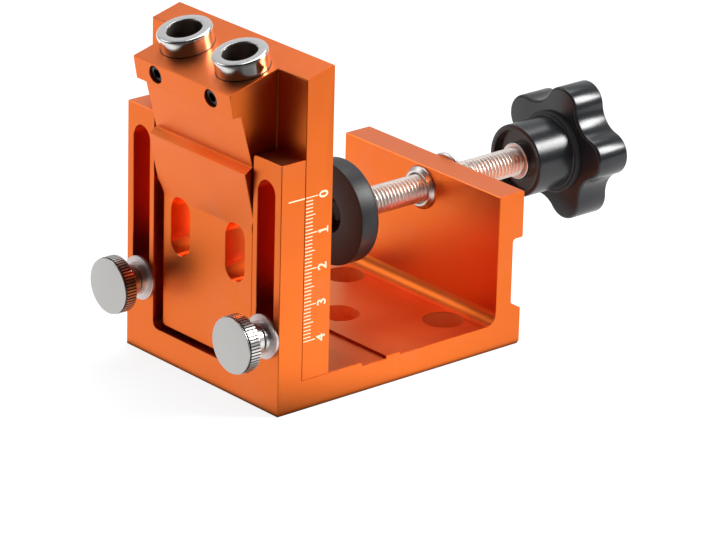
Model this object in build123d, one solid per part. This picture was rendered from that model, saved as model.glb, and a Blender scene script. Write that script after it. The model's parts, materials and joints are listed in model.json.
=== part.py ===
from build123d import *
from math import atan2, cos, pi, radians, sin, tan
import os

os.makedirs("parts", exist_ok=True)

# Pocket hole jig. Millimetres. X runs across the jig, Z up.
# The pieces are drawn with Y = 0 on the front of the frame and Y growing to the
# rear, and are all moved by -DEPTH / 2 when they are saved, so that the saved
# frame has its origin in the middle of the underside.

# Body
WIDTH = 64.0
DEPTH = 85.0
EDGE = 0.15  # broken edges of the milled aluminium

FRAME_THICK = 8.0
FRAME_HIGH = 69.7
WINDOW_HALF = WIDTH / 2 - 11.3
WINDOW_CORNER = 2.2
PILLAR_ROUND = 0.8
SLOT_X = WIDTH / 2 - 6.0
SLOT_WIDE = 7.0
SLOT_LOW = 17.2
SLOT_HIGH = FRAME_HIGH - 5.5

BED_A = 8.3  # bed levels, front to rear
BED_B = 7.3
BED_C = 8.05
BED_D = 7.35
BED_AB = 28.8
BED_BC = 37.1
BED_CD = 42.1
BED_ROUND = 4.0

WALL_HIGH = 44.0
WALL_THICK = 8.8
LIP_UNDER = 30.8
BACK_HOLLOW = 3.45
FOOT_HIGH_IN = 12.3
FOOT_HIGH_OUT = 10.3

HOLE_R = 2.75
HOLE_SINK_R = 5.6
HOLE_SINK_DEEP = 4.4
HOLES = [(-20.75, DEPTH - 17.7), (20.75, DEPTH - 17.7), (0.0, DEPTH - 37.2)]

# Drill guide
TILT = 15.0
S, C = sin(radians(TILT)), cos(radians(TILT))
PLATE_FRONT = FRAME_THICK
PLATE_BACK = 17.2
PLATE_TOP = FRAME_HIGH + 21.5  # at the plate's front
BLOCK_HALF = WINDOW_HALF - 0.65
BLOCK_SUNK = 1.0  # how far the block reaches into the plate
BLOCK_ROOT = 0.5  # round where the block meets the plate
TONGUE_HALF = BLOCK_HALF - 1.55
TONGUE_FRONT = 1.7
TONGUE_LOW = 9.5
TONGUE_CORNER = 1.0
BORE_X = 11.45
BORE_IN = -4.6  # bore axis, measured square to the drill from the plate's top front edge
BUSH_R = 7.3
BUSH_DEEP = 20.0
BUSH_PROUD = 4.85
BUSH_LIP_R = 7.5
DRILL_R = 4.75
CHIP_R = 5.25
CHIP_WIDE = 8.0
CHIP_LOW = PLATE_TOP - 59.85
CHIP_HIGH = PLATE_TOP - 43.5
LEDGE = (0.05, PLATE_TOP - 25.35)  # (Y, Z) of the corner between the panel and the ledge under it
LEDGE_ROUND = 0.35
BLOCK_SIDE = [  # the block seen from its side, (Y, Z)
    (-7.75, PLATE_TOP - 15.75 * tan(radians(TILT))),
    (-6.5, PLATE_TOP - 10.7),
    (-3.85, PLATE_TOP - 10.7),
    LEDGE,
    (-2.35, PLATE_TOP - 27.0),
    (TONGUE_FRONT, PLATE_TOP - 44.5),
    (TONGUE_FRONT, TONGUE_LOW),
    (PLATE_FRONT + BLOCK_SUNK, TONGUE_LOW),
    (PLATE_FRONT + BLOCK_SUNK, PLATE_TOP + BLOCK_SUNK * tan(radians(TILT))),
]
SET_R = 2.5
SET_DOWN = 3.2  # below the block's top
SET_LONG = 4.0
SET_HEX = 2.5
SET_HEX_DEEP = 2.2

SCALE_ZERO = FRAME_HIGH - 10.5  # the zero line at rest, level with the index line on the body
SCALE_TICKS = 40
SCALE_FROM = 0.3  # from the plate's front face
SCALE_LONG, SCALE_MIDDLE, SCALE_SHORT = 4.0, 3.2, 2.4
LINE_WIDE = 0.3
LINE_DEEP = 0.15
INDEX_FROM, INDEX_LONG = 2.45, 4.65

# Thumbscrews
THUMB_Z = SLOT_LOW + SLOT_WIDE / 2 + 0.4
THUMB_R = 2.97
THUMB_HOLE_R = 3.0
THUMB_END = 16.2
WASHER_R = 6.1
WASHER_HOLE_R = 3.2
WASHER_THICK = 0.9
COLLAR_R = 4.4
COLLAR_FACE = -2.7
GROOVE_R = 3.6
GROOVE_FACE = -3.2
NECK_R = 4.3
HEAD_BACK = -7.05
HEAD_FACE = -11.15
HEAD_R = 7.8
HEAD_FACE_R = 7.65
FLUTES = 56
FLUTE_DEEP = 0.3

# Clamp
CLAMP_Z = 37.4
SPINDLE_R = 3.95
BUSHED_R = 4.0
CLAMP_BUSH_R = 6.0
CLAMP_BUSH_BEVEL = 1.0
CLAMP_FLANGE_R = 7.7
CLAMP_FLANGE = 1.2
CLAMP_BUSH_PROUD = 1.5
PAD_FACE = 42.9
PAD_THICK = 6.4
PAD_R = 14.45
PAD_HUB_R = 7.0
PAD_HUB_END = PAD_FACE + 10.9
PAD_RECESS_R = 5.4
PAD_RECESS = 4.5
JOURNAL_R = 3.0
JOURNAL_HOLE_R = 3.05
JOURNAL_END = PAD_FACE + 2.9
HUB_END = DEPTH + 25.8
STAR_FACE = HUB_END + 13.8
STAR_BACK = STAR_FACE + 10.8
HUB_R = 10.3
HUB_RECESS_R = 8.7
HUB_RECESS = 1.8
HUB_FOOT = 1.3  # step at the hub's foot, as wide as it is high
INSERT_R = 5.2
INSERT_END = HUB_END - 0.2
STAR_R = 19.6
LOBE_R = 6.1
VALLEY_R = 14.5
STAR_TURN = 5.7


def side_extrusion(points, half_width, rounds=()):
    """A (Y, Z) outline, with some corners rounded, extruded to both sides of X = 0."""
    face = make_face(Polyline(*points, close=True))
    for y, z, r in rounds:
        face = fillet(face.vertices().sort_by_distance((y, z, 0))[0], r)
    return extrude(Plane.YZ * face, amount=half_width, both=True)


def along_y(x, z, y):
    """A plane at (x, y, z) whose own Z runs to the rear."""
    return Plane(origin=(x, y, z), x_dir=(1, 0, 0), z_dir=(0, 1, 0))


def turned(points, x, z):
    """A turned piece from (radius, Y) points, about the line along Y through x, z."""
    face = make_face(Polyline(*[(r, y) for r, y in points], close=True))
    part = revolve(face, Axis.Y)
    return Pos(x, 0, z) * part


def drill_plane(x, down):
    """A plane square to the drill, `down` below the block's sloped top, its Z up the bore."""
    y = PLATE_FRONT + BORE_IN * C + down * S
    z = PLATE_TOP + BORE_IN * S - down * C
    return Plane(origin=(x, y, z), x_dir=(1, 0, 0), z_dir=(0, -S, C))


def frame_outline():
    """Side view of the body: foot, bed with its locating steps, rear wall with a hollow back."""
    wall = DEPTH - WALL_THICK
    points = [
        (0, 0),
        (0, FRAME_HIGH),
        (FRAME_THICK, FRAME_HIGH),
        (FRAME_THICK, BED_A),
        (BED_AB, BED_A),
        (BED_AB, BED_B),
        (BED_BC, BED_B),
        (BED_BC, BED_C),
        (BED_CD, BED_C),
        (BED_CD, BED_D),
        (wall, BED_D),
        (wall, WALL_HIGH),
        (DEPTH, WALL_HIGH),
        (DEPTH, LIP_UNDER),
        (DEPTH - BACK_HOLLOW, LIP_UNDER),
        (DEPTH - BACK_HOLLOW, FOOT_HIGH_IN),
        (DEPTH, FOOT_HIGH_OUT),
        (DEPTH, 0.7),
        (DEPTH - 0.7, 0),
    ]
    rounds = [
        (wall, BED_D, BED_ROUND),
        (DEPTH - BACK_HOLLOW, LIP_UNDER, 1.0),
        (DEPTH - BACK_HOLLOW, FOOT_HIGH_IN, 1.0),
    ]
    return side_extrusion(points, WIDTH / 2, rounds)


def side_line(y, z, long):
    """An engraved line on the right-hand side, running to the rear from y."""
    low = (Align.CENTER, Align.MIN, Align.CENTER)
    return Pos(WIDTH / 2, y, z) * Box(2 * LINE_DEEP, long, LINE_WIDE, align=low)


def base_frame():
    body = frame_outline()
    ends = body.faces().filter_by(Plane.YZ)
    body = chamfer(ends.edges(), EDGE)
    window = Pos(0, BED_A + FRAME_HIGH / 2) * Rectangle(2 * WINDOW_HALF, FRAME_HIGH)
    low = window.vertices().group_by(Axis.Y)[0]
    window = fillet(low, WINDOW_CORNER)
    body -= extrude(Plane.XZ * window, amount=-FRAME_THICK)
    tall = SLOT_HIGH - SLOT_LOW
    inner_tops = body.edges().filter_by(Axis.Y).sort_by_distance((0, FRAME_THICK / 2, FRAME_HIGH))[:2]
    body = fillet(inner_tops, PILLAR_ROUND)
    for x in (-SLOT_X, SLOT_X):
        slot = Pos(x, (SLOT_LOW + SLOT_HIGH) / 2) * SlotOverall(tall, SLOT_WIDE, rotation=90)
        body -= extrude(Plane.XZ * slot, amount=-FRAME_THICK)
    for x, y in HOLES:
        body -= Pos(x, y, BED_D) * Cylinder(HOLE_R, 4 * BED_D)
        sink = Cylinder(HOLE_SINK_R, WALL_HIGH, align=(Align.CENTER, Align.CENTER, Align.MIN))
        body -= Pos(x, y, BED_D - HOLE_SINK_DEEP) * sink
    body -= Pos(0, DEPTH, CLAMP_Z) * Rot(90, 0, 0) * Cylinder(CLAMP_BUSH_R, 4 * WALL_THICK)
    return body - side_line(INDEX_FROM, SCALE_ZERO, INDEX_LONG)


def guide_plate():
    """The slider's back plate, with the sloped top that the block shares."""
    rise = (PLATE_BACK - PLATE_FRONT) * tan(radians(TILT))
    plate = side_extrusion(
        [
            (PLATE_FRONT, BED_A),
            (PLATE_FRONT, PLATE_TOP),
            (PLATE_BACK, PLATE_TOP + rise),
            (PLATE_BACK, BED_A),
        ],
        WIDTH / 2,
    )
    return chamfer(plate.faces().filter_by(Plane.YZ).edges(), EDGE)


def tongue_relief(side):
    """The strip beside the tongue, with the swept shoulder where it runs out into the wedge."""
    low, high = PLATE_TOP - 44.7, PLATE_TOP - 40.4
    corner = TONGUE_HALF - TONGUE_CORNER
    outline = make_face(
        Line((corner, 0), (corner, TONGUE_LOW))
        + RadiusArc((corner, TONGUE_LOW), (TONGUE_HALF, TONGUE_LOW + TONGUE_CORNER), -TONGUE_CORNER)
        + Line((TONGUE_HALF, TONGUE_LOW + TONGUE_CORNER), (TONGUE_HALF, low))
        + ThreePointArc((TONGUE_HALF, low), (TONGUE_HALF + 0.4, low + 2.4), (BLOCK_HALF, high))
        + Polyline((BLOCK_HALF, high), (BLOCK_HALF + 1, high), (BLOCK_HALF + 1, 0), (corner, 0))
    )
    cut = Pos(0, PLATE_FRONT, 0) * extrude(Plane.XZ * outline, amount=2 * PLATE_FRONT)
    return cut if side > 0 else mirror(cut, Plane.YZ)


def drill_guide():
    block = side_extrusion(BLOCK_SIDE, BLOCK_HALF, [(*LEDGE, LEDGE_ROUND)])
    block = chamfer(block.faces().filter_by(Plane.YZ).edges(), EDGE)
    guide = guide_plate() + block
    for x in (-BLOCK_HALF, BLOCK_HALF):
        root = guide.edges().filter_by(Axis.Z).sort_by_distance((x, PLATE_FRONT, PLATE_TOP / 2))[0]
        guide = fillet(root, BLOCK_ROOT)
    for side in (-1, 1):
        guide -= tongue_relief(side)
        x = side * BORE_X
        seat = drill_plane(x, BUSH_DEEP)
        guide -= seat * Cylinder(BUSH_R, PLATE_TOP, align=(Align.CENTER, Align.CENTER, Align.MIN))
        guide -= seat * Cylinder(CHIP_R, PLATE_TOP, align=(Align.CENTER, Align.CENTER, Align.MAX))
        window = Pos(x, (CHIP_LOW + CHIP_HIGH) / 2) * SlotOverall(
            CHIP_HIGH - CHIP_LOW, CHIP_WIDE, rotation=90
        )
        guide -= extrude(Plane.XZ * window, amount=-PLATE_BACK)
        guide -= set_screw_plane(side) * Cylinder(SET_R, 2 * BUSH_R)
        thread = Cylinder(THUMB_HOLE_R, 2 * PLATE_BACK)
        guide -= along_y(side * SLOT_X, THUMB_Z, PLATE_BACK) * thread
    return guide - scale_lines()


def scale_lines():
    """Millimetre scale, counted downwards from its zero."""
    lines = []
    for i in range(SCALE_TICKS + 1):
        long = SCALE_SHORT if i % 5 else SCALE_MIDDLE if i % 10 else SCALE_LONG
        lines.append(side_line(PLATE_FRONT + SCALE_FROM, SCALE_ZERO - i, long))
    return lines


def guide_bushing(side):
    """Drill bushing: long sleeve with a slightly larger polished lip, drawn along its own bore."""
    top = BUSH_DEEP + BUSH_PROUD
    outline = make_face(
        Polyline(
            (DRILL_R + 0.4, 0),
            (BUSH_R, 0),
            (BUSH_R, top - 1.3),
            (BUSH_LIP_R, top - 1.1),
            (BUSH_LIP_R, top - 0.5),
            (BUSH_LIP_R - 0.5, top),
            (DRILL_R + 0.3, top),
            (DRILL_R, top - 0.3),
            (DRILL_R, 0.4),
            close=True,
        )
    )
    sleeve = revolve(Plane.XZ * outline, Axis.Z)
    return drill_plane(side * BORE_X, BUSH_DEEP) * sleeve


def set_screw_plane(side):
    """A plane on the bushing's skin whose Z points out of the set screw's hole."""
    reach = BORE_IN - BUSH_R
    y = PLATE_FRONT + reach * C + SET_DOWN * S
    z = PLATE_TOP + reach * S - SET_DOWN * C
    return Plane(origin=(side * BORE_X, y, z), x_dir=(1, 0, 0), z_dir=(0, -C, -S))


def bushing_set_screw(side):
    screw = Cylinder(SET_R, SET_LONG, align=(Align.CENTER, Align.CENTER, Align.MIN))
    screw = chamfer(screw.edges().group_by(Axis.Z)[-1], 0.4)
    screw = chamfer(screw.edges().group_by(Axis.Z)[0], 0.4)
    key = extrude(RegularPolygon(SET_HEX / 2, 6, major_radius=False), amount=SET_HEX_DEEP)
    screw -= Pos(0, 0, SET_LONG - SET_HEX_DEEP) * key
    # the far end is hollowed to the bushing's round skin
    skin = Pos(0, 0, -BUSH_R) * Rot(90, 0, 0) * Cylinder(BUSH_R, BUSH_DEEP)
    return set_screw_plane(side) * (screw - skin)


def fluted_rim():
    """Outline of the straight-knurled head."""
    points = []
    step = 2 * pi / FLUTES
    floor = HEAD_R - FLUTE_DEEP
    for i in range(FLUTES):
        for part, r in ((0.0, HEAD_R), (0.5, HEAD_R), (0.66, floor), (0.84, floor)):
            a = (i + part) * step
            points.append((r * cos(a), r * sin(a)))
    return make_face(Polyline(*points, close=True))


def thumb_screw(side):
    x = side * SLOT_X
    head = along_y(x, THUMB_Z, HEAD_FACE) * extrude(fluted_rim(), amount=HEAD_BACK - HEAD_FACE)
    head &= turned(
        [(0, HEAD_FACE), (HEAD_FACE_R, HEAD_FACE), (HEAD_FACE_R, HEAD_FACE + 0.2),
         (HEAD_R - FLUTE_DEEP, HEAD_FACE + 0.3), (HEAD_R - FLUTE_DEEP, HEAD_FACE + 0.6),
         (HEAD_R + 0.1, HEAD_FACE + 0.75),
         (HEAD_R + 0.1, HEAD_BACK - 0.3), (HEAD_R - 0.3, HEAD_BACK), (0, HEAD_BACK)],
        x, THUMB_Z,
    )
    stem = turned(
        [
            (0, HEAD_BACK - 1),
            (NECK_R, HEAD_BACK - 1),
            (NECK_R, GROOVE_FACE),
            (GROOVE_R, GROOVE_FACE),
            (GROOVE_R, COLLAR_FACE),
            (COLLAR_R, COLLAR_FACE),
            (COLLAR_R, -WASHER_THICK),
            (THUMB_R, -WASHER_THICK),
            (THUMB_R, THUMB_END - 0.8),
            (THUMB_R - 0.8, THUMB_END),
            (0, THUMB_END),
        ],
        x, THUMB_Z,
    )
    return head + stem


def thumb_washer(side):
    return turned(
        [
            (WASHER_HOLE_R, -WASHER_THICK),
            (WASHER_R - 0.2, -WASHER_THICK),
            (WASHER_R, -WASHER_THICK + 0.2),
            (WASHER_R, 0),
            (WASHER_HOLE_R, 0),
        ],
        side * SLOT_X, THUMB_Z,
    )


def clamp_bush():
    front = DEPTH - WALL_THICK - CLAMP_BUSH_PROUD
    back = DEPTH + CLAMP_FLANGE
    return turned(
        [
            (BUSHED_R + 0.5, front),
            (CLAMP_BUSH_R - CLAMP_BUSH_BEVEL, front),
            (CLAMP_BUSH_R, front + CLAMP_BUSH_BEVEL),
            (CLAMP_BUSH_R, DEPTH),
            (CLAMP_FLANGE_R - 0.4, DEPTH),
            (CLAMP_FLANGE_R, DEPTH + 0.4),
            (CLAMP_FLANGE_R, back - 0.3),
            (CLAMP_FLANGE_R - 0.3, back),
            (BUSHED_R + 0.5, back),
            (BUSHED_R, back - 0.5),
            (BUSHED_R, front + 0.5),
        ],
        0, CLAMP_Z,
    )


RING_AT = PAD_FACE + PAD_RECESS - 0.05  # the ring's rear side, just clear of the pad
RING_THICK = 0.8
RING_GROOVE_R = 2.4
RING_R = 4.4
RING_GAP = 3.4


def clamp_screw():
    return turned(
        [
            (0, JOURNAL_END),
            (JOURNAL_R - 0.4, JOURNAL_END),
            (JOURNAL_R, JOURNAL_END + 0.4),
            (JOURNAL_R, RING_AT - RING_THICK),
            (RING_GROOVE_R, RING_AT - RING_THICK),
            (RING_GROOVE_R, RING_AT),
            (JOURNAL_R, RING_AT),
            (JOURNAL_R, PAD_HUB_END),
            (SPINDLE_R - 0.5, PAD_HUB_END),
            (SPINDLE_R, PAD_HUB_END + 0.5),
            (SPINDLE_R, STAR_FACE - 1),
            (0, STAR_FACE - 1),
        ],
        0, CLAMP_Z,
    )


def pad_retaining_ring():
    ring = turned(
        [
            (RING_GROOVE_R, RING_AT - RING_THICK),
            (RING_R, RING_AT - RING_THICK),
            (RING_R, RING_AT),
            (RING_GROOVE_R, RING_AT),
        ],
        0, CLAMP_Z,
    )
    return ring - Pos(0, RING_AT, CLAMP_Z - RING_R) * Box(RING_GAP, 4 * RING_THICK, 2 * RING_R)


def clamp_pad():
    back = PAD_FACE + PAD_THICK
    outline = [
        (JOURNAL_HOLE_R, PAD_FACE + PAD_RECESS),
        (PAD_RECESS_R, PAD_FACE + PAD_RECESS),
        (PAD_RECESS_R, PAD_FACE),
        (PAD_R, PAD_FACE),
        (PAD_R, back),
        (PAD_HUB_R, back),
        (PAD_HUB_R, PAD_HUB_END),
        (JOURNAL_HOLE_R, PAD_HUB_END),
    ]
    face = make_face(Polyline(*outline, close=True))
    for r, y, size in ((PAD_R, PAD_FACE, 0.35), (PAD_R, back, 1.3), (PAD_HUB_R, back, 1.0)):
        face = fillet(face.vertices().sort_by_distance((r, y, 0))[0], size)
    return Pos(0, 0, CLAMP_Z) * revolve(face, Axis.Y)


def star_outline():
    """Five round lobes joined by round valleys, each arc tangent to the next."""
    reach = STAR_R - LOBE_R
    half = radians(36)
    lx, ly = reach * cos(half), reach * sin(half)
    # radius of the valley arc that touches both lobes and reaches in to VALLEY_R
    a = VALLEY_R - lx
    valley = (a * a + ly * ly - LOBE_R**2) / (2 * (LOBE_R - a))
    centre = VALLEY_R + valley
    # where the valley meets a lobe, seen from the lobe's centre and from the valley's middle line
    angle = atan2(-ly, centre - lx)
    tx, ty = lx + LOBE_R * cos(angle), ly + LOBE_R * sin(angle)

    def spin(x, y, turn):
        c, s = cos(turn), sin(turn)
        return (x * c - y * s, x * s + y * c)

    arcs = []
    for i in range(5):
        mid = radians(STAR_TURN + 72 * i + 36)
        low, high = spin(tx, -ty, mid), spin(tx, ty, mid)
        arcs.append(ThreePointArc(low, spin(VALLEY_R, 0, mid), high))
        tip = spin(STAR_R, 0, mid + half)
        arcs.append(ThreePointArc(high, tip, spin(tx, -ty, mid + 2 * half)))
    return make_face(arcs)


def clamp_knob():
    star = extrude(Plane.XZ * star_outline(), amount=-(STAR_BACK - STAR_FACE))
    star = Pos(0, STAR_FACE, CLAMP_Z) * star
    ends = star.faces().filter_by(Plane.XZ)
    star = fillet(ends.edges(), 0.7)
    hub = turned(
        [
            (INSERT_R, STAR_FACE),
            (INSERT_R, HUB_END + HUB_RECESS),
            (HUB_RECESS_R, HUB_END + HUB_RECESS),
            (HUB_RECESS_R, HUB_END),
            (HUB_R - 0.5, HUB_END),
            (HUB_R, HUB_END + 0.5),
            (HUB_R, STAR_FACE - HUB_FOOT),
            (HUB_R + HUB_FOOT, STAR_FACE - HUB_FOOT),
            (HUB_R + HUB_FOOT, STAR_FACE + 1),
            (INSERT_R, STAR_FACE + 1),
        ],
        0, CLAMP_Z,
    )
    seat = [(0, HUB_END - 1), (INSERT_R, HUB_END - 1), (INSERT_R, STAR_FACE + 0.5), (0, STAR_FACE + 0.5)]
    return hub + star - turned(seat, 0, CLAMP_Z)


def knob_insert():
    return turned(
        [
            (SPINDLE_R, INSERT_END),
            (INSERT_R - 0.4, INSERT_END),
            (INSERT_R, INSERT_END + 0.4),
            (INSERT_R, STAR_FACE + 0.5),
            (0, STAR_FACE + 0.5),
            (0, STAR_FACE - 1),
            (SPINDLE_R, STAR_FACE - 1),
        ],
        0, CLAMP_Z,
    )


pieces = {
    "base_frame": base_frame(),
    "drill_guide": drill_guide(),
    "guide_bushing_left": guide_bushing(-1),
    "guide_bushing_right": guide_bushing(1),
    "bushing_set_screw_left": bushing_set_screw(-1),
    "bushing_set_screw_right": bushing_set_screw(1),
    "thumb_screw_left": thumb_screw(-1),
    "thumb_screw_right": thumb_screw(1),
    "thumb_washer_left": thumb_washer(-1),
    "thumb_washer_right": thumb_washer(1),
    "clamp_bush": clamp_bush(),
    "clamp_screw": clamp_screw(),
    "pad_retaining_ring": pad_retaining_ring(),
    "clamp_pad": clamp_pad(),
    "clamp_knob": clamp_knob(),
    "knob_insert": knob_insert(),
}

for name, shape in pieces.items():
    shape = Pos(0, -DEPTH / 2, 0) * shape
    shape.label = name
    export_step(shape, f"parts/{name}.step")
    print(name, len(shape.solids()), round(shape.volume, 1), shape.bounding_box())
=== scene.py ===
import json
from math import atan2, cos, pi, radians, sin, tan

import bpy
from mathutils import Matrix, Vector

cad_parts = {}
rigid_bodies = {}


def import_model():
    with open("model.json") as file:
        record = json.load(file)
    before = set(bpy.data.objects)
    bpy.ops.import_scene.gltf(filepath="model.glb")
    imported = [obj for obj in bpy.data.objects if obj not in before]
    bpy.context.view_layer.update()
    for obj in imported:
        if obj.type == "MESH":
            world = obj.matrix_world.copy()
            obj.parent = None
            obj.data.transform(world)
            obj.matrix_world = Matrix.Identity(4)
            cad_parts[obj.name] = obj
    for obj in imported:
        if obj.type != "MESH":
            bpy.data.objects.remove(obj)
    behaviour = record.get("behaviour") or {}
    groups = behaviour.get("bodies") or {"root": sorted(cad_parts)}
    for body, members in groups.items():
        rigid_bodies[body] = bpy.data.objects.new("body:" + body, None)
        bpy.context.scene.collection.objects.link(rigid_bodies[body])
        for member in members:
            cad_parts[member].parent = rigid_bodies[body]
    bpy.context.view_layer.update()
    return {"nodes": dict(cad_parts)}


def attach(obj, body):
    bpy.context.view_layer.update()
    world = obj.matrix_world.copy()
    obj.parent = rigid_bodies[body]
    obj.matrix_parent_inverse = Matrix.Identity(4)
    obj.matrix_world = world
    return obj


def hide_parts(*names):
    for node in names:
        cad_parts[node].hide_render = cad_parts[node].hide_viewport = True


MM = 0.001
HALF_DEPTH = 42.5  # the drawing measures from the front of the frame, the model from its middle

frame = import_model()
nodes = frame["nodes"]

# Sizes shared with the solid model, in millimetres
HALF_WIDTH = 32.0
PLATE_FRONT = 8.0
PLATE_TOP = 91.2
WINDOW_HALF = 20.7
BED_STEP = 37.1
MOUNT_HOLES = ((-20.75, 67.3), (20.75, 67.3), (0, 47.8))
MOUNT_HEAD_R = 5.6
TILT = radians(15)
BORE_X = 11.45
BORE_IN = -4.6
SCALE_ZERO = 59.2
SCALE_LONG = 40
CLAMP_Z = 37.4
SLOT_X = 26.0
THUMB_Z = 21.1
SIDES = ((-1, "left"), (1, "right"))


def at(x, y, z):
    """A point of the drawing, in the model's metres."""
    return Vector((x, y - HALF_DEPTH, z)) * MM


# Small tools


def nothing_selected():
    if bpy.context.object and bpy.context.object.mode != "OBJECT":
        bpy.ops.object.mode_set(mode="OBJECT")
    for obj in bpy.context.view_layer.objects:
        obj.select_set(False)


def only(obj):
    nothing_selected()
    obj.select_set(True)
    bpy.context.view_layer.objects.active = obj


def edit(obj, kind="EDGE"):
    only(obj)
    bpy.ops.object.mode_set(mode="EDIT")
    bpy.ops.mesh.select_mode(type=kind)


def done():
    bpy.ops.object.mode_set(mode="OBJECT")


def pick(obj, kind, test):
    """Selects the faces, edges or vertices that pass a test, and leaves edit mode on."""
    edit(obj, kind)
    bpy.ops.mesh.select_all(action="DESELECT")
    bpy.ops.object.mode_set(mode="OBJECT")
    parts = {"FACE": obj.data.polygons, "EDGE": obj.data.edges, "VERT": obj.data.vertices}[kind]
    for part in parts:
        part.select = bool(test(part))
    bpy.ops.object.mode_set(mode="EDIT")


def modify(obj, kind, **settings):
    """Adds a modifier, sets it and applies it."""
    only(obj)
    mod = obj.modifiers.new(kind, kind)
    for key, value in settings.items():
        setattr(mod, key, value)
    bpy.ops.object.modifier_apply(modifier=mod.name)


def settle(obj, placement):
    """Puts a finished shape in its place, with the place written into its mesh."""
    only(obj)
    obj.matrix_world = placement
    bpy.ops.object.transform_apply(location=True, rotation=True, scale=True)


def join_all(parts):
    nothing_selected()
    for part in parts:
        part.select_set(True)
    bpy.context.view_layer.objects.active = parts[0]
    bpy.ops.object.join()
    return parts[0]


def tidy_mesh(obj, merge=0.002):
    edit(obj, "VERT")
    bpy.ops.mesh.select_all(action="SELECT")
    bpy.ops.mesh.remove_doubles(threshold=merge * MM)
    bpy.ops.mesh.normals_make_consistent(inside=False)
    done()


def hand_over(obj, name, body, finishes, stands_for=(), smooth=35):
    """Names a piece, shades it, gives it its finish and fixes it to its body."""
    only(obj)
    bpy.ops.object.shade_smooth_by_angle(angle=radians(smooth))
    obj.name = obj.data.name = name
    marks = [face.material_index for face in obj.data.polygons]
    obj.data.materials.clear()
    for surface in finishes:
        obj.data.materials.append(surface)
    if len(finishes) > 1:
        obj.data.polygons.foreach_set("material_index", marks)
    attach(obj, body)
    if stands_for:
        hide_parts(*stands_for)
    return obj


def mark(obj, choose):
    """Gives each face the number of its finish, by its distance from the axis, its height and its slope."""
    for face in obj.data.polygons:
        face.material_index = choose(face.center.xy.length / MM, face.center.z / MM, face.normal.z)


def facing_rear(x, z, y=0.0):
    """Placement of a turned piece whose own Z becomes the drawing's Y."""
    return Matrix.Translation(at(x, y, z)) @ Matrix.Rotation(-pi / 2, 4, "X")


def along_drill(x, down):
    """Placement along a drill bore: own Z runs up the bore from `down` under the sloped top."""
    y = PLATE_FRONT + BORE_IN * cos(TILT) + down * sin(TILT)
    z = PLATE_TOP + BORE_IN * sin(TILT) - down * cos(TILT)
    return Matrix.Translation(at(x, y, z)) @ Matrix.Rotation(TILT, 4, "X")


def turn_on_lathe(rings, steps=96):
    """A turned shape: a circle is drawn out and scaled from ring to ring of (radius, height)."""
    nothing_selected()
    r, z = rings[0]
    bpy.ops.mesh.primitive_circle_add(vertices=steps, radius=max(r, 1e-3) * MM, location=(0, 0, 0))
    obj = bpy.context.object
    obj.data.transform(Matrix.Translation((0, 0, z * MM)))
    edit(obj, "VERT")
    bpy.ops.mesh.select_all(action="SELECT")
    for next_r, next_z in rings[1:]:
        next_r = max(next_r, 1e-3)
        bpy.ops.mesh.extrude_region_move(TRANSFORM_OT_translate={"value": (0, 0, (next_z - z) * MM)})
        grow = next_r / max(r, 1e-3)
        bpy.ops.transform.resize(value=(grow, grow, 1), center_override=(0, 0, next_z * MM))
        r, z = next_r, next_z
    done()
    tidy_mesh(obj)
    return obj


def rounded(profile, corners, steps=4):
    """The (radius, height) profile with some of its corners turned into arcs."""
    out = []
    for i, p in enumerate(profile):
        size = corners.get(i)
        if not size:
            out.append(p)
            continue
        here = Vector(p)
        back = (Vector(profile[i - 1]) - here).normalized()
        on = (Vector(profile[(i + 1) % len(profile)]) - here).normalized()
        half = back.angle(on) / 2
        reach = size / tan(half)
        centre = here + (back + on).normalized() * (size / sin(half))
        start, end = here + back * reach - centre, here + on * reach - centre
        sweep = start.angle_signed(end)
        for k in range(steps + 1):
            a = -sweep * k / steps
            v = Vector((start.x * cos(a) - start.y * sin(a), start.x * sin(a) + start.y * cos(a)))
            out.append(tuple(centre + v))
    return out


# Finishes


class Sheet:
    """A node tree with short words for adding and joining nodes."""

    def __init__(self, tree):
        self.tree = tree

    def add(self, kind, **settings):
        node = self.tree.nodes.new(kind)
        for key, value in settings.items():
            if key in node.inputs.keys():
                node.inputs[key].default_value = value
            else:
                setattr(node, key, value)
        return node

    def join(self, a, b):
        self.tree.links.new(a, b)

    def number(self, operation, a, b=None):
        node = self.tree.nodes.new("ShaderNodeMath")
        node.operation = operation
        for i, value in enumerate((a, b)):
            if value is None:
                continue
            if isinstance(value, (int, float)):
                node.inputs[i].default_value = value
            else:
                self.join(value, node.inputs[i])
        return node.outputs[0]

    def along(self, value, direction):
        """How far a place or a look reaches along a direction."""
        node = self.add("ShaderNodeVectorMath", operation="DOT_PRODUCT")
        node.inputs[1].default_value = direction
        self.join(value, node.inputs[0])
        return node.outputs["Value"]

    def spread(self, value, low, high, to_low, to_high):
        """Stretches one range of a value onto another, and holds it at the ends."""
        node = self.tree.nodes.new("ShaderNodeMapRange")
        self.join(value, node.inputs["Value"])
        for name, v in (("From Min", low), ("From Max", high), ("To Min", to_low), ("To Max", to_high)):
            if isinstance(v, (int, float)):
                node.inputs[name].default_value = v
            else:
                self.join(v, node.inputs[name])
        return node.outputs["Result"]

    def blend(self, factor, a, b):
        node = self.tree.nodes.new("ShaderNodeMix")
        node.data_type = "RGBA"
        for value, socket in ((factor, node.inputs[0]), (a, node.inputs[6]), (b, node.inputs[7])):
            if isinstance(value, (int, float)):
                socket.default_value = value
            elif isinstance(value, tuple):
                socket.default_value = (*value, 1.0)
            else:
                self.join(value, socket)
        return node.outputs[2]


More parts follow.
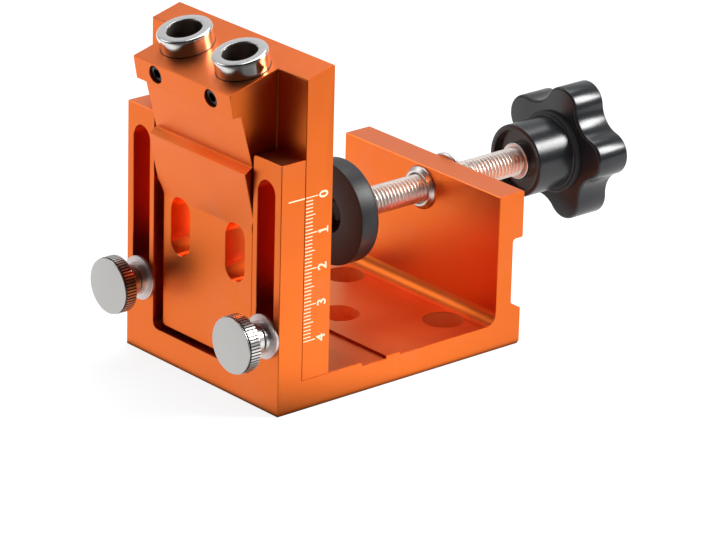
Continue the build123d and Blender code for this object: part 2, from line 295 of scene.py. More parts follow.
def new_group(name, inputs, outputs):
    """A shared shader group with named number inputs and outputs."""
    tree = bpy.data.node_groups.new(name, "ShaderNodeTree")
    for label, kind, value in inputs:
        socket = tree.interface.new_socket(label, in_out="INPUT", socket_type=kind)
        socket.default_value = value
    for label, kind in outputs:
        tree.interface.new_socket(label, in_out="OUTPUT", socket_type=kind)
    sheet = Sheet(tree)
    return sheet, sheet.add("NodeGroupInput"), sheet.add("NodeGroupOutput")


def blasted_grain():
    """Fine bead-blasted tooth: a height, and a slow drift of gloss and shade across a piece."""
    s, given, out = new_group(
        "blasted grain",
        [("Grain per mm", "NodeSocketFloat", 6.0), ("Unevenness", "NodeSocketFloat", 0.5)],
        [(label, "NodeSocketFloat") for label in ("Height", "Gloss drift", "Shade drift")],
    )
    place = s.add("ShaderNodeTexCoord").outputs["Object"]
    fine = s.add("ShaderNodeTexNoise", Detail=2.0, Roughness=0.6)
    s.join(place, fine.inputs["Vector"])
    s.join(s.number("MULTIPLY", given.outputs["Grain per mm"], 1000.0), fine.inputs["Scale"])
    s.join(fine.outputs[0], out.inputs["Height"])
    for scale, name, detail in ((90.0, "Gloss drift", 4.0), (35.0, "Shade drift", 3.0)):
        broad = s.add("ShaderNodeTexNoise", Scale=scale, Detail=detail, Roughness=0.55)
        s.join(place, broad.inputs["Vector"])
        centred = s.number("SUBTRACT", broad.outputs[0], 0.5)
        s.join(s.number("MULTIPLY", centred, given.outputs["Unevenness"]), out.inputs[name])
    return s.tree


def handling_wear():
    """Faint rubs and hair scratches, 0 where the surface is fresh."""
    s, given, out = new_group(
        "handling wear",
        [("Amount", "NodeSocketFloat", 0.3), ("Scratches per cm", "NodeSocketFloat", 6.0)],
        [("Rub", "NodeSocketFloat"), ("Scratch", "NodeSocketFloat")],
    )
    place = s.add("ShaderNodeTexCoord").outputs["Object"]
    cloud = s.add("ShaderNodeTexNoise", Scale=60.0, Detail=5.0, Roughness=0.65)
    s.join(place, cloud.inputs["Vector"])
    patch = s.spread(cloud.outputs[0], 0.52, 0.72, 0.0, 1.0)
    s.join(s.number("MULTIPLY", patch, given.outputs["Amount"]), out.inputs["Rub"])
    lean = s.add("ShaderNodeMapping")
    lean.inputs["Rotation"].default_value = (0.5, 0.9, 0.4)
    lean.inputs["Scale"].default_value = (1.0, 0.06, 0.06)
    s.join(place, lean.inputs["Vector"])
    hair = s.add("ShaderNodeTexNoise", Detail=3.0, Roughness=0.5)
    s.join(lean.outputs[0], hair.inputs["Vector"])
    s.join(s.number("MULTIPLY", given.outputs["Scratches per cm"], 100.0), hair.inputs["Scale"])
    line = s.spread(hair.outputs[0], 0.66, 0.7, 0.0, 1.0)
    scratch = s.number("MULTIPLY", line, patch)
    s.join(s.number("MULTIPLY", scratch, given.outputs["Amount"]), out.inputs["Scratch"])
    return s.tree


GRAIN = blasted_grain()
WEAR = handling_wear()


def finish(name, colour, metallic, roughness, grain=6.0, uneven=0.5, bump=0.02, wear=0.3,
           scratches=6.0, worn_colour=None, shade=0.12, coat=0.0, coat_rough=0.2, specular=0.5):
    """One surface finish: a colour that drifts a little, grain in the bump, wear in colour and gloss."""
    material = bpy.data.materials.new(name)
    material.use_nodes = True
    s = Sheet(material.node_tree)
    surface = material.node_tree.nodes["Principled BSDF"]
    surface.inputs["Metallic"].default_value = metallic
    surface.inputs["Coat Weight"].default_value = coat
    surface.inputs["Coat Roughness"].default_value = coat_rough
    surface.inputs["Specular IOR Level"].default_value = specular
    tooth = s.add("ShaderNodeGroup", node_tree=GRAIN)
    tooth.inputs["Grain per mm"].default_value = grain
    tooth.inputs["Unevenness"].default_value = uneven
    used = s.add("ShaderNodeGroup", node_tree=WEAR)
    used.inputs["Amount"].default_value = wear
    used.inputs["Scratches per cm"].default_value = scratches
    darker = tuple(c * (1 - shade) for c in colour)
    lighter = tuple(min(1.0, c * (1 + shade)) for c in colour)
    drift = s.spread(tooth.outputs["Shade drift"], -0.25, 0.25, 0.0, 1.0)
    base = s.blend(drift, darker, lighter)
    worn = worn_colour or tuple(c + (0.8 - c) * 0.25 for c in colour)
    base = s.blend(used.outputs["Rub"], base, worn)
    s.join(base, surface.inputs["Base Color"])
    gloss = s.number("ADD", tooth.outputs["Gloss drift"], roughness)
    gloss = s.number("ADD", gloss, s.number("MULTIPLY", used.outputs["Rub"], 0.12))
    gloss = s.number("MAXIMUM", gloss, 0.04)
    s.join(gloss, surface.inputs["Roughness"])
    cut = s.number("MULTIPLY", used.outputs["Scratch"], 1.5)
    height = s.number("SUBTRACT", tooth.outputs["Height"], cut)
    relief = s.add("ShaderNodeBump")
    relief.inputs["Strength"].default_value = 1.0
    relief.inputs["Distance"].default_value = bump * MM
    s.join(height, relief.inputs["Height"])
    s.join(relief.outputs[0], surface.inputs["Normal"])
    return material


def aluminium(name, colour, roughness, metallic=1.0, **more):
    usual = dict(grain=9.0, uneven=0.12, bump=0.006, wear=0.1, shade=0.05)
    return finish(f"orange anodised aluminium, {name}", colour, metallic, roughness, **{**usual, **more})


anodised = aluminium("blasted", (0.90, 0.175, 0.018), 0.36, coat=0.3, coat_rough=0.6)
broken_edge = aluminium("cut edge", (0.95, 0.22, 0.045), 0.30, bump=0.004, wear=0.25, coat=0.1,
                        coat_rough=0.4)
# painted shade: the chamfers that face sideways and up are painted darker and made rougher, to damp their
# highlight
side_edge_painted_shade = aluminium("edges of the sides", (0.80, 0.16, 0.02), 0.75)
sunk_hole = aluminium("counterbores", (0.84, 0.19, 0.04), 0.62, metallic=0.3)
# painted shade: the riser of the bed's small step is painted dark red for the shade it stands in
step_painted_shade = aluminium("the bed's small step", (0.30, 0.04, 0.008), 0.6)
engraving = finish("cream engraving paint", (0.98, 0.74, 0.50), 0.0, 0.55, grain=8.0, uneven=0.2, bump=0.01,
                   wear=0.25, worn_colour=(0.75, 0.45, 0.3), shade=0.05)


def steel(name, colour, roughness, **more):
    usual = dict(grain=14.0, uneven=0.1, bump=0.002, wear=0.2, shade=0.04)
    return finish(name, colour, 1.0, roughness, **{**usual, **more})


polished = steel("polished hardened steel", (0.80, 0.79, 0.78), 0.17)
# painted shade: the bore is painted darker than the sleeve's skin, for the shade inside it
bore_painted_shade = steel("honed bore", (0.42, 0.37, 0.33), 0.34)
nickel = steel("satin nickel plate", (0.76, 0.73, 0.71), 0.33)
# painted shade: near-black nickel in the knurl's valleys and the grooves, for the shade in them
groove_painted_shade = steel("nickel plate in the grooves", (0.13, 0.12, 0.115), 0.45)
faced_steel = steel("nickel plate on turned faces", (0.55, 0.535, 0.52), 0.32)
washer_steel = steel("nickel plate on washers", (0.76, 0.67, 0.66), 0.45)
thread_steel = steel("rolled thread steel", (0.92, 0.85, 0.79), 0.46)
# black oxide for the set screws and the pad's ring; the same dark steel is painted shade at the bushings'
# feet and on the spindle's end in the pad's recess
black_steel_and_shade = steel("blackened steel", (0.035, 0.037, 0.042), 0.33, wear=0.4, worn_colour=(0.25, 0.25, 0.26))


def plastic(name, colour, roughness, **more):
    usual = dict(grain=3.0, worn_colour=(0.05, 0.05, 0.05))
    return finish(name, colour, 0.0, roughness, **{**usual, **more})


knob_black = plastic("black moulded plastic, glossy", (0.010, 0.011, 0.013), 0.25, uneven=0.08, bump=0.004,
                     wear=0.12, coat=0.1, coat_rough=0.2)
knob_satin = plastic("black moulded plastic, star face", (0.026, 0.028, 0.030), 0.36, uneven=0.1,
                     bump=0.006, wear=0.15, specular=0.25)
pad_black = plastic("black pad plastic, matt", (0.017, 0.017, 0.019), 0.42, grain=4.0, uneven=0.12,
                    bump=0.012, wear=0.2, worn_colour=(0.06, 0.055, 0.05), specular=0.36)

# Body and drill guide

EDGE_BREAK = 0.28
SHORT_EDGE_SHARE = 0.4  # the short and the sideways edges are broken by this share of it


def faces_at_edges(mesh):
    """For each edge, by its two corners: each face's normal, and the way from the edge into that face."""
    found = {}
    for face in mesh.polygons:
        ring = list(face.vertices)
        for i, v in enumerate(ring):
            w = ring[(i + 1) % len(ring)]
            run = (mesh.vertices[w].co - mesh.vertices[v].co).normalized()
            found.setdefault(tuple(sorted((v, w))), []).append((face.normal.copy(), face.normal.cross(run)))
    return found


def with_broken_edges(node, name, body, long_edge, skip):
    """A merged copy of a milled solid, with its outer corners broken by a narrow chamfer.

    The long edges of upward faces are broken wider than the others, and the solid's own chamfers stay.
    """
    mesh = nodes[node].data.copy()
    obj = bpy.data.objects.new(name, mesh)
    bpy.context.scene.collection.objects.link(obj)
    edit(obj, "VERT")
    bpy.ops.mesh.select_all(action="SELECT")
    bpy.ops.mesh.remove_doubles(threshold=0.001 * MM)
    bpy.ops.mesh.dissolve_limited(angle_limit=radians(0.4))
    done()
    mesh.materials.clear()
    for surface in (anodised, broken_edge):
        mesh.materials.append(surface)
    found = faces_at_edges(mesh)
    weights = mesh.attributes.new("bevel_weight_edge", "FLOAT", "EDGE")
    for line in mesh.edges:
        pair = found.get(tuple(sorted(line.vertices)), [])
        a, b = (mesh.vertices[v].co for v in line.vertices)
        if len(pair) != 2 or skip(a, b):
            continue
        (normal, _), (other, into) = pair
        if normal.angle(other, 0.0) > radians(55) and into.dot(normal) < 0:
            sideways = max(abs(normal.x), abs(other.x)) > 0.9
            upward = max(normal.z, other.z) > 0.95 and not sideways and (a - b).length > long_edge * MM
            weights.data[line.index].value = 1.0 if upward else SHORT_EDGE_SHARE
    modify(obj, "BEVEL", limit_method="WEIGHT", width=EDGE_BREAK * MM, segments=1, profile=0.5, material=1,
           use_clamp_overlap=False, loop_slide=True, miter_outer="MITER_ARC")
    # painted shade: chamfers facing sideways and up take the darker, rougher edge finish
    for face in mesh.polygons:
        if abs(face.normal.x) > 0.3 and face.normal.z > 0.3:
            face.material_index = 2
    hand_over(obj, name, body, [anodised, broken_edge, side_edge_painted_shade], [node], smooth=30)
    modify(obj, "WEIGHTED_NORMAL", keep_sharp=True, weight=80)
    return obj


def on_scale(a, b):
    """True for the edges of the engraved lines, which stay crisp."""
    beside = min(a.x, b.x) > (HALF_WIDTH - 0.25) * MM and (a - b).length < 4.6 * MM
    return beside and max(a.y, b.y) < at(0, 12.5, 0).y and max(a.z, b.z) < (SCALE_ZERO + 0.3) * MM


def on_window(a, b):
    """True for the front edges of the frame's window, which stay sharp."""
    beside = all(abs(abs(p.x) - WINDOW_HALF * MM) < 0.3 * MM for p in (a, b))
    return beside and max(a.y, b.y) < at(0, 0.2, 0).y


def frame_body():
    """The body, with its counterbores in a finish of their own, and the riser of the bed's small step painted
    dark as painted shade.
    """
    def stays_sharp(a, b):
        return on_scale(a, b) or on_window(a, b)

    obj = with_broken_edges("base_frame", "frame_body", "frame", 12, stays_sharp)
    for surface in (sunk_hole, step_painted_shade):
        obj.data.materials.append(surface)
    for face in obj.data.polygons:
        y, z = face.center.y / MM + HALF_DEPTH, face.center.z / MM
        # painted shade on the riser of the bed's small step
        if face.normal.y < -0.5 and 7.4 < z < 8.1 and abs(y - BED_STEP) < 0.3:
            face.material_index = 4
        for hole in MOUNT_HOLES:
            if (face.center - at(*hole, 0)).xy.length < (MOUNT_HEAD_R + 0.15) * MM and 0.5 < z < 7.2:
                face.material_index = 3


frame_body()
with_broken_edges("drill_guide", "guide_slider", "guide", 5, on_scale)

# Engraved scale

NUMBER_Y = 14.3
NUMBER_HIGH = 4.1


def paint_bar(y, z, long, wide=0.3, lift=0.0):
    """Paint in an engraved line: a thin slab, its face crowned by an inset and a small lift."""
    nothing_selected()
    bpy.ops.mesh.primitive_cube_add(size=1)
    bar = bpy.context.object
    bar.scale = (0.13 * MM, long * MM, wide * MM)
    bar.location = at(HALF_WIDTH - 0.085 + lift, y + long / 2, z)
    bpy.ops.object.transform_apply(location=True, rotation=True, scale=True)
    pick(bar, "FACE", lambda f: f.normal.x > 0.9)
    bpy.ops.mesh.inset(thickness=0.05 * MM, depth=0.012 * MM)
    done()
    return bar


def numeral(text, z):
    """A scale number, painted on the side with its head towards the front."""
    nothing_selected()
    bpy.ops.object.text_add()
    obj = bpy.context.object
    obj.data.body = text
    obj.data.size = NUMBER_HIGH * MM
    obj.data.align_x = "CENTER"
    obj.data.align_y = "CENTER"
    obj.data.extrude = 0.02 * MM
    obj.data.offset = 0.07 * MM
    obj.data.resolution_u = 6
    bpy.ops.object.convert(target="MESH")
    obj = bpy.context.object
    across = Matrix(((0, 0, 1, 0), (0, -1, 0, 0), (1, 0, 0, 0), (0, 0, 0, 1)))
    settle(obj, Matrix.Translation(at(HALF_WIDTH + 0.01, NUMBER_Y, z)) @ across)
    tidy_mesh(obj)
    return obj


def scale():
    """The millimetre lines, the numbers at each centimetre and the frame's index line."""
    lines = []
    for i in range(SCALE_LONG + 1):
        long = 2.4 if i % 5 else 3.2 if i % 10 else 4.0
        lines.append(paint_bar(PLATE_FRONT + 0.3, SCALE_ZERO - i, long))
    hand_over(join_all(lines), "scale_lines", "guide", [engraving])
    numbers = [numeral(str(i), SCALE_ZERO - 10 * i) for i in range(SCALE_LONG // 10 + 1)]
    # the figure 1 has a foot and a flag
    numbers.append(paint_bar(NUMBER_Y + 1.2, SCALE_ZERO - 10, 0.4, 1.7, 0.05))
    numbers.append(paint_bar(NUMBER_Y - 1.4, SCALE_ZERO - 10.35, 0.5, 0.45, 0.05))
    hand_over(join_all(numbers), "scale_numbers", "guide", [engraving])
    index = paint_bar(2.45, SCALE_ZERO, 5.4, 0.34, 0.04)
    hand_over(index, "index_line", "frame", [engraving])


scale()

# Drill bushings

DRILL_R, SLEEVE_R, LIP_R = 4.75, 7.3, 7.5
SLEEVE_LONG, SLEEVE_SUNK, LIP_HIGH = 24.85, 20.0, 1.15


def drill_bushing(side, word):
    """A ground sleeve with a slightly larger rounded lip, its bore duller than its skin and painted darker as
    painted shade.
    """
    lip = SLEEVE_LONG - LIP_HIGH
    sleeve = turn_on_lathe(
        rounded([(DRILL_R + 0.4, 0), (SLEEVE_R, 0), (SLEEVE_R, lip - 0.2), (SLEEVE_R + 0.06, lip - 0.15),
                 (SLEEVE_R + 0.06, lip - 0.05), (LIP_R, lip), (LIP_R, SLEEVE_LONG),
                 (DRILL_R + 0.25, SLEEVE_LONG), (DRILL_R, SLEEVE_LONG - 0.3), (DRILL_R, 0.4),
                 (DRILL_R + 0.4, 0)], {6: 0.6, 7: 0.15}), 128)
    # a ring of painted shadow where the sleeve leaves the sloped top
    inner, outer, foot = SLEEVE_R - 0.02, SLEEVE_R + 0.12, SLEEVE_SUNK - 0.1
    line = turn_on_lathe(
        [(inner, foot), (outer, foot), (outer, foot + 0.22), (inner, foot + 0.24), (inner, foot)], 128)
    obj = join_all([sleeve, line])

    # 1: the bore's painted shade, 2: the ring of painted shadow at the foot
    def surface(r, z, up):
        if r < DRILL_R + 0.15 and z < SLEEVE_LONG - 0.55:
            return 1
        return 2 if inner - 0.02 < r < outer + 0.02 and foot - 0.05 < z < foot + 0.3 else 0

    mark(obj, surface)
    settle(obj, along_drill(side * BORE_X, SLEEVE_SUNK))
    hand_over(obj, f"bushing_{word}", "guide", [polished, bore_painted_shade, black_steel_and_shade],
              [f"guide_bushing_{word}"])


for side, word in SIDES:
    drill_bushing(side, word)

# Lock screws and washers, turned about their own axis from the frame's face at height 0

RIBS = 56
HEAD_R, RIB_ROOT_R, HEAD_FACE, HEAD_BACK = 7.8, 7.5, -11.15, -7.05
NECK_R, COLLAR_R, SHANK_R, SHANK_END = 4.3, 4.4, 2.97, 16.2
NECK_GROOVE_R, GROOVE_FRONT, GROOVE_BACK = 3.6, -3.2, -2.7
WASHER_R, WASHER_HOLE_R, WASHER_FACE = 6.1, 3.2, -0.9


def knurled_band(start, end):
    """The straight-knurled part of a lock screw's head: a toothed outline, drawn out along the screw."""
    steps = RIBS * 4
    nothing_selected()
    bpy.ops.mesh.primitive_circle_add(vertices=steps, radius=HEAD_R * MM, fill_type="NGON")
    band = bpy.context.object
    for i, v in enumerate(band.data.vertices):
        r = HEAD_R if i % 4 < 2 else RIB_ROOT_R
        turn = (i // 4 + (0.0, 0.58, 0.68, 0.9)[i % 4]) * 2 * pi / RIBS
        v.co = (r * cos(turn) * MM, r * sin(turn) * MM, start * MM)
    edit(band, "FACE")
    bpy.ops.mesh.select_all(action="SELECT")
    bpy.ops.mesh.extrude_region_move(TRANSFORM_OT_translate={"value": (0, 0, (end - start) * MM)})
    done()
    tidy_mesh(band)
    return band


def lock_screw(side, word):
    """A faced disc, a groove painted dark as painted shade, the knurled band with painted shade in its
    valleys, then neck, groove, collar and threaded shank.
    """
    rim, sunk = HEAD_R - 0.15, HEAD_R - 0.35
    disc = turn_on_lathe(
        rounded([(0, HEAD_FACE), (rim, HEAD_FACE), (rim, HEAD_FACE + 0.25), (sunk, HEAD_FACE + 0.3),
                 (sunk, HEAD_FACE + 0.75), (0, HEAD_FACE + 0.75)], {1: 0.14}), 128)
    heel = turn_on_lathe([(0, HEAD_BACK - 0.35), (sunk, HEAD_BACK - 0.35), (sunk, HEAD_BACK - 0.2),
                          (sunk - 0.35, HEAD_BACK), (0, HEAD_BACK)], 128)
    neck = turn_on_lathe(
        rounded([(0, HEAD_BACK - 0.15), (NECK_R, HEAD_BACK - 0.15), (NECK_R, GROOVE_FRONT),
                 (NECK_GROOVE_R, GROOVE_FRONT + 0.05), (NECK_GROOVE_R, GROOVE_BACK - 0.05),
                 (COLLAR_R, GROOVE_BACK), (COLLAR_R, WASHER_FACE), (SHANK_R, WASHER_FACE),
                 (SHANK_R, SHANK_END - 0.8), (2.2, SHANK_END), (0, SHANK_END)], {2: 0.12, 5: 0.12}), 72)
    obj = join_all([disc, knurled_band(HEAD_FACE + 0.7, HEAD_BACK - 0.25), heel, neck])

    def surface(r, z, up):
        if z < HEAD_FACE + 0.05:
            return 2
        # painted shade: the knurl's valleys, the groove behind the face and the neck's groove
        in_head = sunk - 0.15 < r < sunk + 0.25 and HEAD_FACE + 0.25 < z < HEAD_BACK - 0.25
        in_neck = r < NECK_GROOVE_R + 0.2 and GROOVE_FRONT < z < GROOVE_BACK
        return 1 if in_head or in_neck else 0

    mark(obj, surface)
    settle(obj, facing_rear(side * SLOT_X, THUMB_Z))
    hand_over(obj, f"lock_screw_{word}", f"lock_screw_{word}",
              [nickel, groove_painted_shade, faced_steel], [f"thumb_screw_{word}"], smooth=32)


def lock_washer(side, word):
    obj = turn_on_lathe(
        rounded([(WASHER_HOLE_R, WASHER_FACE), (WASHER_R, WASHER_FACE), (WASHER_R, 0), (WASHER_HOLE_R, 0),
                 (WASHER_HOLE_R, WASHER_FACE)], {1: 0.2, 2: 0.12}), 72)
    settle(obj, facing_rear(side * SLOT_X, THUMB_Z))
    hand_over(obj, f"washer_{word}", f"lock_washer_{word}", [washer_steel],
              [f"thumb_washer_{word}"])


for side, word in SIDES:
    lock_screw(side, word)
    lock_washer(side, word)

# Clamp, turned about its own axis with heights counted from the front of the frame

THREAD_R, THREAD_ROOT_R, PITCH = 3.95, 3.34, 1.25
THREAD_START, THREAD_END = 53.8, 123.6
JOURNAL_R, JOURNAL_END, RING_GROOVE_R = 3.0, 45.8, 2.4
PAD_R, PAD_FACE, PAD_BACK = 14.45, 42.9, 49.3
PAD_RECESS_R, PAD_FLOOR, PAD_NECK_R = 5.4, 47.4, 7.0
BUSH_R, BUSH_FLANGE_R, BUSH_FRONT, BUSH_REAR, WALL_REAR = 6.0, 7.7, 74.7, 86.2, 85.0
HUB_R, HUB_END, HUB_RECESS_R, HUB_FLOOR = 10.3, 110.8, 8.7, 112.6
INSERT_R, INSERT_END = 5.2, 110.6
STAR_TIP, LOBE, VALLEY, STAR_TURN = 19.6, 6.1, 14.5, radians(5.7)
STAR_FACE, STAR_THICK = 124.6, 10.8


def rolled_thread(start, end, steps=40):
    """A true helical thread, wound from one tooth and cut square at both ends."""
    crest = THREAD_R - 0.10
    tooth = [(THREAD_ROOT_R, 0.0), (THREAD_ROOT_R, 0.10), (crest, 0.46), (THREAD_R, 0.52), (THREAD_R, 0.60),
             (crest, 0.66), (THREAD_ROOT_R, 0.98), (THREAD_ROOT_R, 1.0)]
    mesh = bpy.data.meshes.new("thread")
    mesh.from_pydata([(r * MM, 0, (start - 1.5 * PITCH + t * PITCH) * MM) for r, t in tooth],
                     [(i, i + 1) for i in range(len(tooth) - 1)], [])
    obj = bpy.data.objects.new("thread", mesh)
    bpy.context.scene.collection.objects.link(obj)
    turns = int((end - start) / PITCH) + 4
    modify(obj, "SCREW", angle=2 * pi, screw_offset=PITCH * MM, iterations=turns, steps=steps,
           render_steps=steps, use_merge_vertices=True, merge_threshold=1e-6, use_smooth_shade=True)
    tidy_mesh(obj, 0.001)
    for height, low in ((start, True), (end, False)):
        edit(obj, "VERT")
        bpy.ops.mesh.select_all(action="SELECT")
        bpy.ops.mesh.bisect(plane_co=(0, 0, height * MM), plane_no=(0, 0, 1), use_fill=True,
                            clear_inner=low, clear_outer=not low)
        done()
    tidy_mesh(obj, 0.001)
    return obj


def clamp_spindle():
    """The thread, and the turned-down end that carries the pad and its ring, painted black as painted shade
    in the pad's recess.
    """
    thread = rolled_thread(THREAD_START, THREAD_END)
    ring_low, ring_high = JOURNAL_END + 0.75, JOURNAL_END + 1.55
    journal = turn_on_lathe(
        rounded([(0, JOURNAL_END), (JOURNAL_R, JOURNAL_END), (JOURNAL_R, ring_low),
                 (RING_GROOVE_R, ring_low), (RING_GROOVE_R, ring_high), (JOURNAL_R, ring_high),
                 (JOURNAL_R, THREAD_START + 0.2), (0, THREAD_START + 0.2)], {1: 0.35}), 64)
    obj = join_all([thread, journal])
    # painted shade: the turned-down end is painted black, for the shade in the pad's recess
    mark(obj, lambda r, z, up: 1 if z < THREAD_START - 0.1 else 0)
    settle(obj, facing_rear(0, CLAMP_Z))
    hand_over(obj, "spindle_thread", "spindle", [thread_steel, black_steel_and_shade], ["clamp_screw"],
              smooth=40)


def swivel_pad():
    bore = JOURNAL_R + 0.05
    obj = turn_on_lathe(
        rounded([(bore, PAD_FLOOR), (PAD_RECESS_R, PAD_FLOOR), (PAD_RECESS_R, PAD_FACE), (PAD_R, PAD_FACE),
                 (PAD_R, PAD_BACK), (PAD_NECK_R, PAD_BACK), (PAD_NECK_R, THREAD_START),
                 (bore, THREAD_START), (bore, PAD_FLOOR)],
                {2: 0.2, 3: 0.35, 4: 1.3, 5: 1.0, 6: 0.4}, 6), 128)
    settle(obj, facing_rear(0, CLAMP_Z))
    hand_over(obj, "swivel_pad", "pad", [pad_black], ["clamp_pad"], smooth=28)


def wall_bush():
    bore = THREAD_R + 0.05
    mouth = bore + 0.5
    obj = turn_on_lathe(
        rounded([(mouth, BUSH_FRONT), (BUSH_R - 1, BUSH_FRONT), (BUSH_R, BUSH_FRONT + 1), (BUSH_R, WALL_REAR),
                 (BUSH_FLANGE_R - 0.4, WALL_REAR), (BUSH_FLANGE_R, WALL_REAR + 0.4),
                 (BUSH_FLANGE_R, BUSH_REAR), (mouth, BUSH_REAR), (bore, BUSH_REAR - 0.5),
                 (bore, BUSH_FRONT + 0.5), (mouth, BUSH_FRONT)],
                {1: 0.15, 2: 0.25, 4: 0.2, 5: 0.2, 6: 0.3}, 5), 96)
    settle(obj, facing_rear(0, CLAMP_Z))
    hand_over(obj, "wall_bush", "frame", [nickel], ["clamp_bush"])


def star_points(steps=12):
    """Five round lobes and five hollows, each arc running into the next."""
    reach = STAR_TIP - LOBE
    half = pi / 5
    lx, ly = reach * cos(half), reach * sin(half)
    a = VALLEY - lx
    hollow = (a * a + ly * ly - LOBE**2) / (2 * (LOBE - a))
    centre = VALLEY + hollow
    lean = atan2(ly, centre - lx)
    wide = half + lean  # the lobe's arc ends where the hollow's begins
    points = []
    for i in range(5):
        lobe = STAR_TURN + i * 2 * pi / 5
        for k in range(-steps, steps + 1):
            t = lobe + wide * k / steps
            points.append((reach * cos(lobe) + LOBE * cos(t), reach * sin(lobe) + LOBE * sin(t)))
        mid = lobe + half
        for k in range(-steps + 1, steps):
            t = mid + pi - lean * k / steps
            points.append((centre * cos(mid) + hollow * cos(t), centre * sin(mid) + hollow * sin(t)))
    return points


def star_knob():
    """The five-lobed star, with the hub and its foot ring on the side of the wall."""
    outline = star_points()
    nothing_selected()
    bpy.ops.mesh.primitive_circle_add(vertices=len(outline), radius=STAR_TIP * MM, fill_type="NGON")
    star = bpy.context.object
    for v, (x, z) in zip(star.data.vertices, outline):
        v.co = (x * MM, -z * MM, STAR_FACE * MM)
    edit(star, "FACE")
    bpy.ops.mesh.select_all(action="SELECT")
    bpy.ops.mesh.extrude_region_move(TRANSFORM_OT_translate={"value": (0, 0, STAR_THICK * MM)})
    done()
    tidy_mesh(star)
    modify(star, "BEVEL", width=0.75 * MM, segments=5, limit_method="ANGLE", angle_limit=radians(60))
    inside, foot, foot_r = STAR_FACE + 0.5, STAR_FACE - 1.3, HUB_R + 1.3
    hub = turn_on_lathe(
        rounded([(INSERT_R, inside), (INSERT_R, HUB_FLOOR), (HUB_RECESS_R, HUB_FLOOR),
                 (HUB_RECESS_R, HUB_END), (HUB_R, HUB_END), (HUB_R, foot), (foot_r, foot),
                 (foot_r, inside), (INSERT_R, inside)], {2: 0.1, 3: 0.2, 4: 0.45, 5: 0.3, 6: 0.3}, 5), 128)
    obj = join_all([star, hub])

    def surface(r, z, up):
        on_star = up < -0.9 and r > foot_r - 0.1
        on_foot = HUB_R + 0.1 < r < foot_r + 0.1 and z > foot - 0.1
        return 1 if on_star or on_foot else 0

    mark(obj, surface)
    settle(obj, facing_rear(0, CLAMP_Z))
    hand_over(obj, "star_knob", "spindle", [knob_black, knob_satin], ["clamp_knob"])


def insert_boss():
    """The metal insert that grips the spindle in the knob's hub."""
    inside = STAR_FACE + 0.5
    obj = turn_on_lathe(
        rounded([(THREAD_R, INSERT_END), (INSERT_R, INSERT_END), (INSERT_R, inside), (0, inside),
                 (0, THREAD_END), (THREAD_R, THREAD_END), (THREAD_R, INSERT_END)], {1: 0.45}, 5), 96)
    settle(obj, facing_rear(0, CLAMP_Z))
    hand_over(obj, "insert_boss", "spindle", [nickel], ["knob_insert"])


clamp_spindle()
swivel_pad()
wall_bush()
star_knob()
insert_boss()

# The rest of the solids keep their shape and get their finish.
for name in ("bushing_set_screw_left", "bushing_set_screw_right", "pad_retaining_ring"):
    nodes[name].data.materials.clear()
    nodes[name].data.materials.append(black_steel_and_shade)

# Floor, light and camera

CARD_DIM, CARD_LEFT, CARD_RIGHT = 0.25, 1.26, 1.12
ROOM_DIM, ROOM_BRIGHT, ROOM_LEFT, EDGE_CARD = 0.03, 0.72, 0.28, 2.0
WHITE = (1, 1, 1, 1)


def mirrored_cards(s):
    """The strength of what the metal mirrors in the floor: a bright card on either side of a dim strip."""
    place = s.add("ShaderNodeTexCoord").outputs["Object"]
    aside = s.along(place, (0.755, 0.656, 0.0))
    toward = s.along(place, (0.755, -0.656, 0.0))
    left = s.spread(aside, -0.10, -0.02, CARD_LEFT, 0.72 * CARD_LEFT)
    left = s.number("MINIMUM", left, s.spread(aside, -0.02, 0.0, 0.8 * CARD_LEFT, CARD_DIM))
    left = s.number("MULTIPLY", left, s.spread(toward, -0.06, 0.0, 1.18, 1.0))
    right = s.spread(aside, 0.0, 0.03, CARD_DIM, CARD_RIGHT)
    right = s.number("MULTIPLY", right, s.spread(toward, -0.01, 0.05, 0.93, 1.2))
    # the floor is dim towards the eye, and dark under the jig and just around it
    card = s.number("MAXIMUM", left, right)
    card = s.number("MULTIPLY", card, s.spread(toward, 0.088, 0.15, 1.0, 0.10))
    parts = s.add("ShaderNodeSeparateXYZ")
    s.join(place, parts.inputs[0])
    beside = s.number("SUBTRACT", s.number("ABSOLUTE", parts.outputs["X"]), HALF_WIDTH * MM)
    before = s.number("SUBTRACT", s.number("ABSOLUTE", parts.outputs["Y"]), HALF_DEPTH * MM)
    outside = s.number("MAXIMUM", beside, before)
    return s.number("MULTIPLY", card, s.spread(outside, 0.0005, 0.002, 0.02, 1.0))


def studio_floor():
    nothing_selected()
    bpy.ops.mesh.primitive_plane_add(size=12, location=(0, 0, 0))
    floor = bpy.context.object
    floor.name = "studio_floor"
    material = bpy.data.materials.new("pale paper floor")
    material.use_nodes = True
    s = Sheet(material.node_tree)
    surface = material.node_tree.nodes["Principled BSDF"]
    surface.inputs["Base Color"].default_value = (0.9, 0.9, 0.9, 1)
    surface.inputs["Roughness"].default_value = 0.8
    surface.inputs["Specular IOR Level"].default_value = 0.1
    ray = s.add("ShaderNodeLightPath")
    # the eye sees white paper that still takes the shadow
    glow = s.add("ShaderNodeEmission", Color=WHITE, Strength=1.12)
    paper = s.add("ShaderNodeMixShader")
    s.join(s.number("MULTIPLY", ray.outputs["Is Camera Ray"], 0.72), paper.inputs[0])
    s.join(surface.outputs[0], paper.inputs[1])
    s.join(glow.outputs[0], paper.inputs[2])
    cards = s.add("ShaderNodeEmission", Color=WHITE)
    s.join(mirrored_cards(s), cards.inputs["Strength"])
    mix = s.add("ShaderNodeMixShader")
    s.join(ray.outputs["Is Glossy Ray"], mix.inputs[0])
    s.join(paper.outputs[0], mix.inputs[1])
    s.join(cards.outputs[0], mix.inputs[2])
    s.join(mix.outputs[0], material.node_tree.nodes["Material Output"].inputs["Surface"])
    floor.data.materials.append(material)


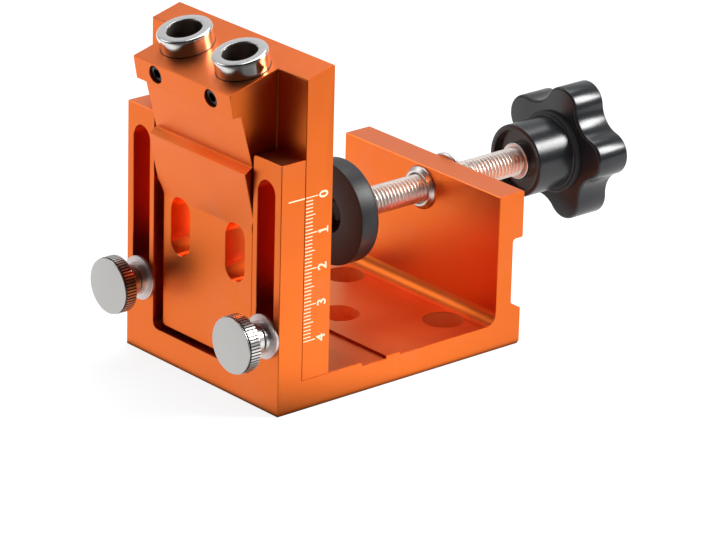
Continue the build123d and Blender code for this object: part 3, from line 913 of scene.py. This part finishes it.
def studio_room():
    """A room that is bright beyond the jig, dark on the camera's side and half lit at the front left."""
    world = bpy.data.worlds.new("studio")
    bpy.context.scene.world = world
    world.use_nodes = True
    s = Sheet(world.node_tree)
    room = world.node_tree.nodes["Background"]
    room.inputs["Color"].default_value = (0.97, 0.98, 1.0, 1)
    look = s.add("ShaderNodeTexCoord").outputs["Generated"]
    seen = s.spread(s.along(look, (-0.755, 0.656, 0.0)), 0.25, 0.85, ROOM_DIM, ROOM_BRIGHT)
    front_left = s.spread(s.along(look, (-0.70, -0.61, 0.367)), 0.80, 0.96, 0.0, ROOM_LEFT)
    # a small bright card, high on the left, draws lines of light on the front edges and in the wall's fillet
    high_left = s.spread(s.along(look, (-0.70, -0.40, 0.592)), 0.955, 0.985, 0.0, EDGE_CARD)
    seen = s.number("MAXIMUM", s.number("MAXIMUM", seen, front_left), high_left)
    # paint and plastic take an even light from all of it
    ray = s.add("ShaderNodeLightPath")
    even = s.number("MULTIPLY", ray.outputs["Is Diffuse Ray"], 0.6)
    s.join(s.number("ADD", seen, even), room.inputs["Strength"])
    white = s.add("ShaderNodeBackground", Color=WHITE, Strength=1.0)
    mix = s.add("ShaderNodeMixShader")
    s.join(ray.outputs["Is Camera Ray"], mix.inputs[0])
    s.join(room.outputs[0], mix.inputs[1])
    s.join(white.outputs[0], mix.inputs[2])
    s.join(mix.outputs[0], world.node_tree.nodes["World Output"].inputs["Surface"])


def softbox(name, place, wide, tall, power):
    """A lamp aimed at the middle of the jig."""
    lamp = bpy.data.lights.new(name, "AREA")
    lamp.shape = "RECTANGLE"
    lamp.size, lamp.size_y = wide, tall
    lamp.energy = power
    obj = bpy.data.objects.new(name, lamp)
    bpy.context.scene.collection.objects.link(obj)
    obj.location = place
    obj.rotation_euler = (Vector((0, 0, 0.04)) - Vector(place)).to_track_quat("-Z", "Y").to_euler()


def camera():
    """The photograph's own view: 49 degrees round from the front, 21.5 degrees up."""
    azimuth, elevation, roll = 0.85598, 0.37564, 0.02524
    aim, distance = at(16.447, 40.0, 26.969), 1.23384
    picture_wide, focal_pixels = 716, 4640.61
    back = Vector((sin(azimuth) * cos(elevation), -cos(azimuth) * cos(elevation), sin(elevation)))
    right = Vector((cos(azimuth), sin(azimuth), 0))
    up = back.cross(right)
    x = right * cos(roll) + up * sin(roll)
    y = up * cos(roll) - right * sin(roll)
    data = bpy.data.cameras.new("camera")
    data.sensor_width = 36
    data.lens = focal_pixels / picture_wide * data.sensor_width
    data.clip_end = 50
    obj = bpy.data.objects.new("camera", data)
    bpy.context.scene.collection.objects.link(obj)
    turned = Matrix((x, y, back)).transposed().to_4x4()
    obj.matrix_world = Matrix.Translation(aim + back * distance) @ turned
    bpy.context.scene.camera = obj


studio_floor()
studio_room()
softbox("right softbox", (0.52, 0.63, 0.57), 0.3, 0.38, 9.5)
softbox("top softbox", (-0.25, 0.35, 1.20), 0.8, 0.8, 7.0)
camera()
bpy.context.scene.view_settings.view_transform = "Standard"

nothing_selected()
